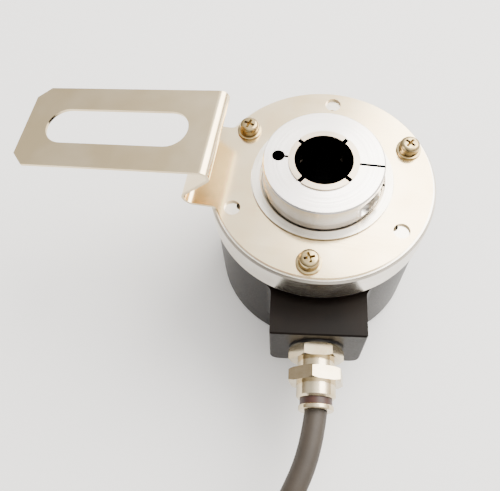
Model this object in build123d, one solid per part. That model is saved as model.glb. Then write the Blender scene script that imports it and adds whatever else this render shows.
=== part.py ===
from build123d import *
import math
import os

# Through-hollow-shaft rotary encoder with a slotted, folded torque arm.
# Origin: on the shaft axis, in the front face of the flange (the seat of the stator plate).
# +Z points out of the front, towards the clamp collar. -Y is the side where the cable leaves.
# All sizes are in millimetres.

# ---- clearances -------------------------------------------------------------------------
run_gap = 0.05          # radial running clearance: seals on the shaft, balls in their grooves
seat_gap = 0.02         # radial clearance of a seated piece: races, spacers, screws in threads
hole_gap = 0.25         # radial clearance of a screw in a plain hole

# ---- hollow shaft ------------------------------------------------------------------------
bore_d = 20.0           # bore that the driven shaft enters
nose_wall = 2.0         # wall of the slotted nose that the collar squeezes
journal_wall = 2.5      # wall of the journal that carries both bearings
shaft_front = 12.3      # front end of the shaft
shaft_rear_inset = 0.6  # the rear end stays this far inside the housing's rear face
nose_slot_w = 1.5
nose_slot_end = 1.2     # floor of the four nose slots
nose_slot_turn = 47.0   # angle of the first slot
shoulder_w = 0.8        # rib that the front bearing is pressed against
shoulder_h = 1.1
nose_step = 0.5         # the nose starts this far above the collar's pocket
edge_break = 0.4        # small chamfer of turned ends and socket heads

# ---- clamp collar ------------------------------------------------------------------------
collar_wall = 8.75
collar_front = 11.7
collar_w = 11.0
collar_slit_w = 1.0
collar_turn = -5.5      # angle of the slit
relief_hole_d = 4.4     # hinge hole opposite the slit
relief_offset = 3.5     # its middle's distance from the nose
relief_slit_w = 0.9
clamp_offset = 4.4      # clamp screw's distance from the nose
clamp_screw_d = 4.0
clamp_screw_l = 14.0
clamp_head_d = 7.0
clamp_head_l = 4.0
clamp_key_w = 3.0
clamp_seat = 5.5        # head seat's distance from the slit
collar_chamfer = 0.5
relief_turn = 179.2     # the hinge hole stands almost opposite the slit

# ---- flange ------------------------------------------------------------------------------
flange_lip = 1.0        # the flange stands this much outside the housing
flange_t = 12.0
flange_chamfer = 0.8
boss_wall = 3.8
boss_h = 1.9
boss_chamfer = 1.0
collar_gap = 0.25       # radial gap between the collar and the boss
collar_pocket_floor = -0.3
spigot_l = 5.0          # rim that enters the housing
spigot_wall = 2.3
hub_wall = 4.0          # bearing hub behind the flange
hub_end = 1.1           # hub behind its retaining ring

# ---- bearings, two thin-section deep-groove bearings --------------------------------------
bearing_section = 6.0   # radial height from the journal to the hub
bearing_w = 7.0
ball_d = 3.5
ball_count = 14
race_step = 1.8         # thickness of each race at its lip
bearing_spacing = 8.0   # gap between the two bearings
cage_w = 4.6
cage_t = 1.2
shield_t = 0.3
spacer_t = 1.3
spring_t = 0.6          # wave spring, pressed nearly flat
spring_room = 0.7
clip_t = 1.2
clip_h = 1.6            # radial height of a retaining ring
clip_groove = 0.8       # depth of its groove
clip_gap = 4.4          # gap between a ring's two ends
lug_d = 2.6
lug_hole_d = 1.0
lug_shift = 0.8         # a lug's middle stands this far off the ring
lug_spread = 3.0        # and this far to each side of the gap's middle
spring_clear = 0.3      # from the wave spring's rim to the hub
shield_inset = 0.25     # from a bearing's end to its shield
seal_w = 2.6
seal_section = 3.5
seal_clear = 0.3        # from the front seal to the shaft's rib
seal_rear_inset = 0.4   # from the housing's rear face to the rear seal

# ---- stator plate and torque arm, one folded sheet ----------------------------------------
sheet_t = 1.0
plate_inset = 1.5       # from the flange's rim to the plate's rim
plate_gap = 0.3         # radial gap around the boss
hole_inset = 5.0        # from the plate's rim to the bolt circle
plain_hole_d = 5.7
tapped_inset = 9.8      # from the flange's rim to the middles of its spare tapped holes
tapped_hole_d = 3.3
tapped_hole_depth = 9.0
screw_turn = 22.7       # angle of the first screw; a screw or a hole every 60 degrees
hole_turn = screw_turn + 60
arm_turn = 172.7        # direction in which the arm leaves
arm_w = 34.4
tab_fillet = 3.0
tab_reach = 1.5         # flat tab, from the plate's rim to where the fold begins
fold_reach = 12.0       # sharp corner of the lower fold, from the plate's rim outwards
fold_return = 6.7       # sharp corner of the upper fold, from the plate's rim inwards
fold_height = 20.5      # height of the upper corner above the sheet's middle
lower_bend = 3.5        # bend radii to the sheet's middle
upper_bend = 2.5
arm_slope = 8.0         # the arm falls this much towards its end, degrees
arm_l = 76.2            # from the upper sharp corner to the arm's end
arm_chamfer = 4.5
slot_start = 14.4       # from the upper sharp corner
slot_l = 53.3
slot_w = 14.9

# ---- plate screws, M4 with washers --------------------------------------------------------
plate_screw_d = 4.0
plate_screw_l = 10.0
plate_head_d = 7.0
plate_head_h = 2.6
plate_head_round = 0.45 # rounding of the head's rim, as a share of its height
cross_l = 3.8           # cross recess
cross_w = 0.8
cross_depth = 1.3
washer_clear = 0.1      # from a spring washer to its screw
flat_washer_d = 8.8
flat_washer_t = 0.8
spring_washer_d = 7.2
spring_washer_t = 1.0
spring_washer_split = 0.8

# ---- housing ------------------------------------------------------------------------------
housing_wall = 2.0
post_room = 9.5         # from the code disc's rim to the housing's inner wall
housing_rear = -59.0    # rear face, which the encoder rests on
rear_wall = 3.0
rear_edge_radius = 2.0
box_w = 33.4            # cable box on the -Y side
box_reach = 13.2        # its front face's distance from the round wall
box_top = -15.6
box_bottom = -45.0
box_wall = 2.5
box_radius = 4.0
box_flare = 4.0         # fillet where the box meets the round wall
o_ring_d = 1.6
o_ring_play = 0.1       # each side, in its groove
box_chamfer = 0.5

# ---- circuit board, optics ----------------------------------------------------------------
board_t = 1.6
board_gap = 2.0         # from the board's rim to the housing's inner wall
board_inner_gap = 6.5   # from the journal to the board's inner rim
board_clear = 5.0       # from the code disc to the board
standoff_inset = 5.5    # from the housing's inner wall to the standoffs' middles
standoff_af = 5.0
header_w = 16.0         # wire header
header_depth = 7.0
header_h = 5.0
header_inset = 4.0      # from the board's rim to the header's mouth
header_pitch = 2.5
header_hole_w = 1.8
header_hole_l = 5.0
standoff_turns = (30.0, 150.0, 210.0, 330.0)
post_screw_d = 3.0
post_screw_l = 8.0
post_head_d = 5.6
post_head_h = 1.7
post_head_sink = 0.2    # the heads lie this deep below the rear face
post_key_w = 2.0
post_key_depth = 1.1
post_hole_l = 5.0       # tapped hole in the flange
front_stud_l = 4.5
rear_stud_l = 6.0
disc_t = 1.0
disc_margin = 2.3       # from the middle of the code tracks to the disc's rim
disc_hub_gap = 1.2      # from the bearing hub to the disc hub
disc_hub_t = 1.8
disc_hub_l = 4.0        # sleeve behind the disc hub's flange
disc_hub_wall = 1.6
disc_seat = 4.5         # radial width of the disc hub's flange
led_d = 3.5
led_l = 6.0
led_inset = 0.4         # the lamp stands this far inside both ends of its hole
holder_w = 9.0
holder_depth = 7.0
holder_shift = 1.1      # the holder's middle stands this much outside the tracks
holder_clear = 0.3      # from the bearing hub to the holder
holder_gap = 1.0        # from the holder to the disc
sensor_w = 10.0
sensor_h = 3.4
reticle_w = 8.0
reticle_t = 0.7

# ---- cable gland, along -Y ----------------------------------------------------------------
gland_z = -29.5
gland_af = 17.0         # hexagon of the body
gland_turn = -2.0       # its turn about the gland's axis, from one flat on top
gland_nut_af = 18.0
gland_thread_d = 15.2
gland_thread_l = 9.5    # from the box's front face inwards
gland_washer_t = 0.6
gland_hex_l = 4.4
gland_neck_d = 13.1
gland_neck_l = 3.6
gland_nut_hex_l = 4.6
gland_nut_d = 13.8
gland_nut_l = 5.2       # smooth round end behind the nut's hexagon
gland_nut_turn = 40.0
gland_seal_d = 11.2
gland_seal_out = 2.3    # how far the rubber shows
gland_ring_d = 12.3
gland_ring_t = 1.8
locknut_t = 3.0
locknut_af = 19.0
gland_play = 0.6        # radial, from the cable to the gland's bore
gland_washer_lip = 1.1
hex_barrel = 0.575      # radius that turns off a nut's corners, as a share of its flats
hex_chamfer = (0.5, 0.9)
nut_end_chamfer = 0.7
gland_ring_round = 0.5

# ---- cable ---------------------------------------------------------------------------------
cable_d = 7.8
cable_inner_l = 8.2     # jacket inside the box's front face
core_d = 1.3
core_count = 5
core_pitch = 1.45
core_straight = 3.0     # run out of the jacket
core_dip = (4.5, 3.5)   # bend before the header: distance from its mouth, depth below the gland's axis
core_plug_l = 4.0       # inside the header
core_bends = (3.0, 3.0, 2.5)
cable_overlap = 0.1     # the outer cable starts this deep inside the clamp ring
coil_mid_r = 46.8       # middle of the coil's turns
coil_step = 4.0         # the two lower turns lie this far to each side of the middle
coil_x = 20.4
coil_reach = 92.9       # from the gland's end to the coil's middle
coil_top_start = 95.0   # the upper turn covers this sector, counter-clockwise
coil_top_end = 390.0
tie_t = 0.9
tie_w = 10.0
tie_clear = 0.1         # between a tie and the turns
tie_grip = 0.6          # at the sides a tie presses into the turns
tie_turns = (215.0, 325.0)
sleeve_d = 8.8
sleeve_l = 12.0
sleeve_shift = 0.2      # from the upper turn's end to the sleeve
lead_gap = 0.4          # from the sleeve's face to the leads' first bend
lead_shift = 1.6        # the leads lie this much outside the coil's middle

# Route of the cable from the gland to the coil, chosen points: share of the way across to the
# coil's outer turn, distance from the start, share of the way down to the turn's height.
cable_steps = (
    (0.0, 0.0, 0.0),
    (0.049, 12.9, 0.0),
    (0.286, 29.4, 0.053),
    (0.589, 45.4, 0.358),
    (0.839, 60.2, 0.789),
    (0.993, 79.0, 0.963),
    (1.0, 93.0, 1.0),
)

# Each flying lead: distances from the sleeve's face round the coil, sideways spread, height
# above the lower turns.
lead_steps = (0.0, 8.0, 17.0, 27.0, 38.0)
lead_spread = (1.0, 1.05, 1.35, 1.75, 1.9)
lead_height = (3.9, 3.4, 1.1, 0.65, 0.65)
lead_wander = ((0, 0.1, -0.3, 0.5, 1.2), (0, -0.1, 0.4, 0.1, -0.6), (0, 0.1, -0.3, 0.2, 0.4),
               (0, 0.1, 0.2, -0.3, 0.5), (0, 0.1, -0.2, 0.6, -0.4))

# ---- derived sizes, from the bore outwards and from the front backwards ------------------------
bore_r = bore_d / 2
nose_r = bore_r + nose_wall
journal_r = bore_r + journal_wall
shaft_rear = housing_rear + shaft_rear_inset
collar_r = nose_r + collar_wall
pocket_r = collar_r + collar_gap
boss_r = pocket_r + boss_wall
bearing_r = journal_r + bearing_section
ball_circle_r = (journal_r + bearing_r) / 2
seal_r = journal_r + seal_section
hub_r = bearing_r + hub_wall
optic_r = hub_r + holder_clear + holder_depth / 2 - holder_shift
disc_r = optic_r + disc_margin
housing_inner_r = disc_r + post_room
housing_r = housing_inner_r + housing_wall
standoff_r = housing_inner_r - standoff_inset
board_r = housing_inner_r - board_gap
flange_r = housing_r + flange_lip
plate_r = flange_r - plate_inset
hole_circle_r = plate_r - hole_inset
box_face = housing_r + box_reach
box_depth = box_face - box_wall
cable_inner_end = box_face - cable_inner_l
tab_end = plate_r + tab_reach

front_bearing_z = collar_pocket_floor - seal_w - seal_clear - shoulder_w
rear_bearing_z = front_bearing_z - bearing_w - bearing_spacing
hub_clip_z = rear_bearing_z - bearing_w - spring_room
hub_rear = hub_clip_z - clip_t - hub_end
disc_hub_front = hub_rear - disc_hub_gap
disc_front = disc_hub_front - disc_hub_t
board_front = disc_front - disc_t - board_clear
board_rear = board_front - board_t

cable_r = cable_d / 2
coil_floor = housing_rear + tie_t + tie_clear
coil_mid_z = coil_floor + cable_d
coil_in = coil_mid_r - coil_step - cable_r
coil_out = coil_mid_r + coil_step + cable_r

gland_seat = box_face + gland_washer_t
gland_neck_start = gland_seat + gland_hex_l
gland_nut_start = gland_neck_start + gland_neck_l
gland_nut_mid = gland_nut_start + gland_nut_hex_l
gland_nut_end = gland_nut_mid + gland_nut_l
gland_ring_start = gland_nut_end + gland_seal_out
gland_end = gland_ring_start + gland_ring_t
gland_hole_r = cable_r + gland_play

coil_y = -gland_end - coil_reach
cable_across = coil_x - coil_mid_r - coil_step
cable_down = coil_floor + cable_r - gland_z
cable_route = [(across * cable_across, cable_overlap - gland_end - out, gland_z + down * cable_down)
               for across, out, down in cable_steps]
base = (Align.CENTER, Align.CENTER, Align.MIN)


# ---- helpers ---------------------------------------------------------------------------------
def rod(radius, low, high):
    return Pos(0, 0, low) * Cylinder(radius, high - low, align=base)


def ring(outer, inner, low, high):
    return rod(outer, low, high) - rod(inner, low - 1, high + 1)


def block(x0, x1, y0, y1, z0, z1):
    return Pos((x0 + x1) / 2, (y0 + y1) / 2, (z0 + z1) / 2) * Box(x1 - x0, y1 - y0, z1 - z0)


def hexagon(across_flats, low, high, turn=0.0):
    face = Rot(0, 0, turn) * RegularPolygon(across_flats / 2, 6, major_radius=False)
    return Pos(0, 0, low) * extrude(face, amount=high - low)


def around(piece, radius, turns):
    return [Rot(0, 0, turn) * Pos(radius, 0, 0) * piece for turn in turns]


def every(start, count):
    return [start + 360 * i / count for i in range(count)]


def without(piece, tools):
    for tool in tools:
        piece -= tool
    return piece


# A piece drawn along +Z is laid along -Y, at the height of the gland.
def along_gland(piece):
    return Pos(0, 0, gland_z) * Rot(90, 0, 0) * piece


# Round bar bent along a route: straight runs joined by the largest tangent arcs.
def bent_bar(route, diameter, name):
    points = [Vector(p) for p in route]
    runs = [b - a for a, b in zip(points, points[1:])]
    radii = []
    for first, second in zip(runs, runs[1:]):
        half_turn = math.radians(first.get_angle(second)) / 2
        radii.append(0.45 * min(first.length, second.length) / math.tan(half_turn))
    path = FilletPolyline(*points, radius=radii)
    start = Plane(origin=points[0], z_dir=runs[0])
    bar = sweep(start * Circle(diameter / 2), path=path)
    section = math.pi * diameter ** 2 / 4
    print(name, "radii", [round(r, 1) for r in radii], "length", round(path.length, 1),
          "volume ratio", round(bar.volume / (section * path.length), 4))
    return bar


def write(name, shape):
    if isinstance(shape, list):
        solids = [s for piece in shape for s in piece.solids()]
        shape = Compound(children=solids) if len(solids) > 1 else solids[0]
    export_step(shape, f"parts/{name}.step")


# ---- rotor -----------------------------------------------------------------------------------
def hollow_shaft():
    nose_start = collar_pocket_floor + nose_step
    shaft = rod(journal_r, shaft_rear, nose_start)
    shaft += rod(nose_r, nose_start, shaft_front)
    shaft += rod(journal_r + shoulder_h, front_bearing_z, front_bearing_z + shoulder_w)
    shaft -= rod(bore_r, shaft_rear - 1, shaft_front + 1)
    clip_z = rear_bearing_z - bearing_w
    shaft -= ring(journal_r + 1, journal_r - clip_groove, clip_z - clip_t - seat_gap, clip_z)
    slot = block(bore_r - 1, nose_r + 1, -nose_slot_w / 2, nose_slot_w / 2,
                 nose_slot_end, shaft_front + 1)
    shaft = without(shaft, around(slot, 0, every(nose_slot_turn, 4)))
    ends = shaft.edges().filter_by(GeomType.CIRCLE).group_by(Axis.Z)[0]
    return chamfer(ends, edge_break)


def clamp_collar():
    low = collar_front - collar_w
    collar = rod(collar_r, low, collar_front)
    rims = collar.edges().filter_by(GeomType.CIRCLE)
    collar = chamfer(rims, collar_chamfer)
    collar -= rod(nose_r + seat_gap, low - 1, collar_front + 1)
    collar -= block(0, collar_r + 1, -collar_slit_w / 2, collar_slit_w / 2, low - 1, collar_front + 1)
    relief = Rot(0, 0, relief_turn) * (
        Pos(nose_r + relief_offset, 0, 0) * rod(relief_hole_d / 2, low - 1, collar_front + 1)
        + block(nose_r - 1, nose_r + relief_offset, -relief_slit_w / 2, relief_slit_w / 2,
                low - 1, collar_front + 1))
    collar -= relief
    middle = (low + collar_front) / 2
    pocket = rod(clamp_head_d / 2 + hole_gap, clamp_seat, collar_r + clamp_seat)
    clear_hole = rod(clamp_screw_d / 2 + hole_gap, -1, clamp_seat + 1)
    thread = rod(clamp_screw_d / 2 + seat_gap, clamp_seat - clamp_screw_l - 1, 0)
    cuts = Pos(nose_r + clamp_offset, 0, middle) * Rot(90, 0, 0) * (pocket + clear_hole + thread)
    return Rot(0, 0, collar_turn) * (collar - cuts)


def clamp_screw():
    middle = collar_front - collar_w / 2
    screw = rod(clamp_screw_d / 2, clamp_seat - clamp_screw_l, clamp_seat)
    head = rod(clamp_head_d / 2, clamp_seat, clamp_seat + clamp_head_l)
    head = chamfer(head.edges().filter_by(GeomType.CIRCLE).group_by(Axis.Z)[-1], edge_break)
    head -= hexagon(clamp_key_w, clamp_seat + clamp_head_l / 2, clamp_seat + clamp_head_l + 1)
    return Rot(0, 0, collar_turn) * Pos(nose_r + clamp_offset, 0, middle) * Rot(90, 0, 0) * (screw + head)


def disc_hub():
    hub = ring(journal_r + disc_seat, journal_r + seat_gap, disc_front, disc_hub_front)
    hub += ring(journal_r + disc_hub_wall, journal_r + seat_gap, disc_front - disc_hub_l, disc_front)
    return hub


def code_disc():
    return ring(disc_r, journal_r + disc_hub_wall + seat_gap, disc_front - disc_t, disc_front)


# A retaining ring: flat ring with a gap and two lugs with plier holes.
def retaining_ring(inner, outer, low, lug_inwards):
    clip = ring(outer, inner, low, low + clip_t)
    lug_r = inner - lug_shift if lug_inwards else outer + lug_shift
    gap = block(0, outer + 2, -clip_gap / 2, clip_gap / 2, low - 1, low + clip_t + 1)
    clip -= gap
    for side in (-1, 1):
        spot = Rot(0, 0, side * math.degrees(math.asin(lug_spread / lug_r))) * Pos(lug_r, 0, 0)
        clip += spot * rod(lug_d / 2, low, low + clip_t)
        clip -= spot * rod(lug_hole_d / 2, low - 1, low + clip_t + 1)
    return clip


# ---- bearings ---------------------------------------------------------------------------------
def race_groove(z):
    return Pos(0, 0, z - bearing_w / 2) * Torus(ball_circle_r, ball_d / 2 + run_gap)


def inner_race(z):
    race = ring(journal_r + race_step, journal_r + seat_gap, z - bearing_w, z)
    return race - race_groove(z)


def outer_race(z):
    race = ring(bearing_r - seat_gap, bearing_r - race_step, z - bearing_w, z)
    return race - race_groove(z)


def bearing_balls(z):
    ball = Pos(0, 0, z - bearing_w / 2) * Sphere(ball_d / 2)
    return around(ball, ball_circle_r, every(0, ball_count))


def bearing_cage(z):
    middle = z - bearing_w / 2
    cage = ring(ball_circle_r + cage_t / 2, ball_circle_r - cage_t / 2,
                middle - cage_w / 2, middle + cage_w / 2)
    pocket = Pos(0, 0, middle) * Rot(0, 90, 0) * Cylinder(ball_d / 2 + run_gap, 3 * cage_t)
    return without(cage, around(pocket, ball_circle_r, every(0, ball_count)))


# Two thin shields, held in the outer race and clear of the inner one.
def bearing_shields(z):
    outer = bearing_r - race_step
    inner = journal_r + race_step + run_gap
    return [ring(outer, inner, low, low + shield_t)
            for low in (z - shield_inset - shield_t, z - bearing_w + shield_inset)]


def wave_spring():
    low = hub_clip_z + (spring_room - spring_t) / 2
    return ring(bearing_r - spring_clear, bearing_r - race_step, low, low + spring_t)


def lip_seal(low, high, outer):
    return ring(outer - seat_gap, journal_r + run_gap, low, high)


# ---- flange -----------------------------------------------------------------------------------
def front_flange():
    flange = rod(flange_r, -flange_t, 0)
    flange = chamfer(flange.edges().filter_by(GeomType.CIRCLE).group_by(Axis.Z)[-1], flange_chamfer)
    spigot_r = housing_inner_r - seat_gap
    flange += rod(spigot_r, -flange_t - spigot_l, -flange_t)
    flange -= ring(spigot_r - spigot_wall, hub_r, -flange_t - spigot_l - 1, -flange_t)
    flange += rod(hub_r, hub_rear, -flange_t)
    boss = rod(boss_r, 0, boss_h)
    flange += boss
    flange -= rod(pocket_r, collar_pocket_floor, boss_h + 1)
    mouth = Pos(0, 0, boss_h - boss_chamfer) * Cone(
        pocket_r, pocket_r + boss_chamfer, boss_chamfer, align=base)
    flange -= mouth
    flange -= rod(seal_r, front_bearing_z, boss_h)
    flange -= rod(bearing_r, hub_rear - 1, front_bearing_z)
    flange -= ring(bearing_r + clip_groove, bearing_r - 1,
                   hub_clip_z - clip_t - seat_gap, hub_clip_z)
    groove_z = -flange_t - spigot_l / 2
    flange -= ring(spigot_r + 1, spigot_r - o_ring_d,
                   groove_z - o_ring_d / 2 - o_ring_play, groove_z + o_ring_d / 2 + o_ring_play)
    tapped = rod(plate_screw_d / 2 + seat_gap, -plate_screw_l, 1)
    spare = rod(tapped_hole_d / 2, -tapped_hole_depth, 1)
    post = rod(post_screw_d / 2 + seat_gap, -flange_t, -flange_t + post_hole_l)
    flange = without(flange, around(tapped, hole_circle_r, every(screw_turn, 3)))
    flange = without(flange, around(spare, flange_r - tapped_inset, every(hole_turn, 3)))
    return without(flange, around(post, standoff_r, standoff_turns))


def housing_o_ring():
    middle_r = housing_inner_r - seat_gap / 2 - o_ring_d / 2
    return Pos(0, 0, -flange_t - spigot_l / 2) * Torus(middle_r, o_ring_d / 2)


# ---- stator plate with its torque arm ------------------------------------------------------------
# The sheet's plan is drawn with the arm along +X and then turned.
def folded_arm():
    mid = sheet_t / 2
    slope = math.radians(arm_slope)
    corner = (plate_r - fold_return, 0, mid + fold_height)
    tip = (plate_r - fold_return + arm_l * math.cos(slope), 0, mid + fold_height - arm_l * math.sin(slope))
    path = FilletPolyline((tab_end, 0, mid), (plate_r + fold_reach, 0, mid), corner, tip,
                          radius=[lower_bend, upper_bend])
    start = Plane(origin=(tab_end, 0, mid), x_dir=(0, 1, 0), z_dir=(1, 0, 0))
    arm = sweep(start * Rectangle(arm_w, sheet_t), path=path)
    face = Plane(origin=corner, x_dir=(math.cos(slope), 0, -math.sin(slope)),
                 z_dir=(math.sin(slope), 0, math.cos(slope)))
    slot_middle = slot_start + slot_l / 2
    slot = face * Pos(slot_middle, 0, 0) * SlotOverall(slot_l, slot_w)
    arm -= extrude(slot, amount=sheet_t, both=True)
    trim = Rot(0, 0, 45) * Rectangle(arm_chamfer * math.sqrt(2), arm_chamfer * math.sqrt(2))
    for side in (-1, 1):
        cut = face * Pos(arm_l, side * arm_w / 2, 0) * trim
        arm -= extrude(cut, amount=sheet_t, both=True)
    return arm


def stator_plate():
    tab = Pos(tab_end / 2, 0) * Rectangle(tab_end, arm_w)
    outline = Circle(plate_r) + tab
    meeting_x = math.sqrt((plate_r) ** 2 - (arm_w / 2) ** 2)
    corners = [v for v in outline.vertices()
               if abs(v.X - meeting_x) < 0.01 and abs(abs(v.Y) - arm_w / 2) < 0.01]
    outline = fillet(corners, tab_fillet)
    outline -= Circle(boss_r + plate_gap)
    for turn in every(screw_turn - arm_turn, 3):
        outline -= Rot(0, 0, turn) * Pos(hole_circle_r, 0) * Circle(plate_screw_d / 2 + hole_gap)
    for turn in every(hole_turn - arm_turn, 3):
        outline -= Rot(0, 0, turn) * Pos(hole_circle_r, 0) * Circle(plain_hole_d / 2)
    plate = extrude(outline, amount=sheet_t)
    return Rot(0, 0, arm_turn) * (plate + folded_arm())


def plate_screws():
    seat = sheet_t + flat_washer_t + spring_washer_t
    shank = rod(plate_screw_d / 2, seat - plate_screw_l, seat)
    head = rod(plate_head_d / 2, seat, seat + plate_head_h)
    head = fillet(head.edges().filter_by(GeomType.CIRCLE).group_by(Axis.Z)[-1],
                  plate_head_h * plate_head_round)
    for turn in (0, 90):
        head -= Rot(0, 0, turn) * block(
            -cross_l / 2, cross_l / 2, -cross_w / 2, cross_w / 2,
            seat + plate_head_h - cross_depth, seat + plate_head_h + 1)
    return around(shank + head, hole_circle_r, every(screw_turn, 3))


def flat_washers():
    washer = ring(flat_washer_d / 2, plate_screw_d / 2 + hole_gap, sheet_t, sheet_t + flat_washer_t)
    return around(washer, hole_circle_r, every(screw_turn, 3))


def spring_washers():
    low = sheet_t + flat_washer_t
    washer = ring(spring_washer_d / 2, plate_screw_d / 2 + washer_clear, low, low + spring_washer_t)
    washer -= block(0, spring_washer_d, -spring_washer_split / 2, spring_washer_split / 2,
                    low - 1, low + spring_washer_t + 1)
    return around(washer, hole_circle_r, every(screw_turn, 3))


# ---- housing --------------------------------------------------------------------------------------
# Plan of the cable box: a rectangle that flares into the round wall.
def box_plan(width, face, flare):
    tab = Pos(0, -face / 2) * Rectangle(width, face)
    plan = Circle(housing_r) + tab
    if flare > 0:
        meeting_y = -math.sqrt((housing_r) ** 2 - (width / 2) ** 2)
        corners = [v for v in plan.vertices()
                   if abs(v.Y - meeting_y) < 0.01 and abs(abs(v.X) - width / 2) < 0.01]
        plan = fillet(corners, flare)
    return plan


def housing():
    shell = rod(housing_r, housing_rear, -flange_t)
    shell = fillet(shell.edges().filter_by(GeomType.CIRCLE).group_by(Axis.Z)[0], rear_edge_radius)
    box = Pos(0, 0, box_bottom) * extrude(box_plan(box_w, box_face, box_flare),
                                          amount=box_top - box_bottom)
    lower = box.edges().filter_by(Axis.Y).group_by(Axis.Z)[0]
    box = fillet(lower, box_radius)
    front = box.faces().sort_by(Axis.Y)[0]
    box = chamfer(front.edges(), box_chamfer)
    shell += box
    shell -= rod(housing_inner_r, housing_rear + rear_wall, -flange_t + 1)
    cavity = block(-box_w / 2 + box_wall, box_w / 2 - box_wall, -box_depth, 0,
                   box_bottom + box_wall, box_top - box_wall)
    cavity = fillet(cavity.edges().filter_by(Axis.Y).group_by(Axis.Z)[0], box_radius - 1)
    shell -= cavity
    shell -= rod(seal_r, housing_rear - 1, housing_rear + rear_wall + 1)
    shell -= along_gland(rod(gland_thread_d / 2 + seat_gap, box_depth - 1, box_face + 1))
    hole = rod(post_screw_d / 2 + hole_gap, housing_rear - 1, housing_rear + rear_wall + 1)
    sink = rod(post_head_d / 2 + hole_gap, housing_rear - 1, housing_rear + post_head_h + post_head_sink)
    return without(shell, around(hole + sink, standoff_r, standoff_turns))


def housing_screws():
    seat = housing_rear + post_head_h + post_head_sink
    screw = rod(post_screw_d / 2, seat, seat + post_screw_l)
    head = rod(post_head_d / 2, seat - post_head_h, seat)
    head = chamfer(head.edges().filter_by(GeomType.CIRCLE).group_by(Axis.Z)[0], edge_break)
    head -= hexagon(post_key_w, seat - post_head_h - 1, seat - post_head_h + post_key_depth)
    return around(screw + head, standoff_r, standoff_turns)


# ---- circuit board and optics ----------------------------------------------------------------------
def front_standoffs():
    post = hexagon(standoff_af, board_front, -flange_t)
    post += rod(post_screw_d / 2, -flange_t, -flange_t + front_stud_l)
    post -= rod(post_screw_d / 2 + seat_gap, board_front - 1, board_front + rear_stud_l)
    return around(post, standoff_r, standoff_turns)


def rear_standoffs():
    post = hexagon(standoff_af, housing_rear + rear_wall, board_rear)
    post += rod(post_screw_d / 2, board_rear, board_rear + rear_stud_l)
    post -= rod(post_screw_d / 2 + seat_gap, housing_rear, housing_rear + rear_wall + post_screw_l)
    return around(post, standoff_r, standoff_turns)


def main_board():
    board = ring(board_r, journal_r + board_inner_gap, board_rear, board_front)
    hole = rod(post_screw_d / 2 + hole_gap, board_rear - 1, board_front + 1)
    return without(board, around(hole, standoff_r, standoff_turns))


def board_chips():
    # middle from the shaft axis, width, depth, height
    chips = [(26, 0, 9, 6, 1.6), (-26, 0, 7, 10, 1.8), (24, 7, 4, 4, 1.2), (-20, 13, 3, 5, 1.4),
             (0, 27, 10, 5, 1.6), (14, 22, 3, 2, 1.0), (-14, 22, 3, 2, 1.0)]
    return [block(x - w / 2, x + w / 2, y - d / 2, y + d / 2, board_rear - h, board_rear)
            for x, y, w, d, h in chips]


def wire_header():
    mouth = header_inset - board_r
    header = block(-header_w / 2, header_w / 2, mouth, mouth + header_depth,
                   board_front, board_front + header_h)
    middle = board_front + header_h / 2
    for i in range(core_count):
        x = (i - (core_count - 1) / 2) * header_pitch
        header -= block(x - header_hole_w / 2, x + header_hole_w / 2, mouth - 1, mouth + header_hole_l,
                        middle - header_hole_w / 2, middle + header_hole_w / 2)
    return header


def led_holder():
    low = disc_front + holder_gap
    middle = optic_r + holder_shift
    holder = block(-holder_w / 2, holder_w / 2, middle - holder_depth / 2,
                   middle + holder_depth / 2, low, -flange_t)
    return holder - Pos(0, optic_r, 0) * rod(led_d / 2 + seat_gap, low - 1, low + led_l)


def led_emitter():
    low = disc_front + holder_gap + led_inset
    led = rod(led_d / 2, low + led_d / 2, low + led_l - led_inset)
    led += Pos(0, 0, low + led_d / 2) * Sphere(led_d / 2)
    return Pos(0, optic_r, 0) * led


def sensor_block():
    return block(-sensor_w / 2, sensor_w / 2, optic_r - sensor_w / 2, optic_r + sensor_w / 2,
                 board_front, board_front + sensor_h)


def reticle():
    low = board_front + sensor_h
    return block(-reticle_w / 2, reticle_w / 2, optic_r - reticle_w / 2, optic_r + reticle_w / 2,
                 low, low + reticle_t)


# ---- gland, drawn from the shaft axis outwards ------------------------------------------------------
def gland_washer():
    return along_gland(ring(gland_af / 2 + gland_washer_lip, gland_thread_d / 2 + seat_gap,
                            box_face, gland_seat))


def gland_body():
    body = rod(gland_thread_d / 2, box_face - gland_thread_l, gland_seat)
    hexa = hexagon(gland_af, gland_seat, gland_neck_start, gland_turn)
    hexa &= barrel(gland_af, gland_seat, gland_neck_start)
    body += hexa + rod(gland_neck_d / 2, gland_neck_start, gland_nut_mid)
    return along_gland(body - rod(gland_hole_r, box_face - gland_thread_l - 1, gland_nut_mid + 1))


# A short rod with both rims turned off at 30 degrees, as on a turned nut.
def barrel(across_flats, low, high):
    body = rod(across_flats * hex_barrel, low, high)
    return chamfer(body.edges().filter_by(GeomType.CIRCLE),
                   length=hex_chamfer[0], length2=hex_chamfer[1])


def gland_nut():
    nut = hexagon(gland_nut_af, gland_nut_start, gland_nut_mid, gland_nut_turn)
    nut &= barrel(gland_nut_af, gland_nut_start, gland_nut_mid)
    end = rod(gland_nut_d / 2, gland_nut_mid, gland_nut_end)
    nut += chamfer(end.edges().filter_by(GeomType.CIRCLE).group_by(Axis.Z)[-1], nut_end_chamfer)
    nut -= rod(gland_neck_d / 2 + seat_gap, gland_nut_start - 1, gland_nut_mid)
    return along_gland(nut - rod(gland_seal_d / 2 + seat_gap, gland_nut_mid - 1, gland_nut_end + 1))


def gland_seal():
    return along_gland(ring(gland_seal_d / 2, cable_r + seat_gap, gland_nut_mid, gland_ring_start))


def gland_clamp_ring():
    collar = ring(gland_ring_d / 2, cable_r + seat_gap, gland_ring_start, gland_end)
    outer = collar.edges().filter_by(GeomType.CIRCLE).group_by(SortBy.RADIUS)[-1]
    return along_gland(fillet(outer, gland_ring_round))


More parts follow.
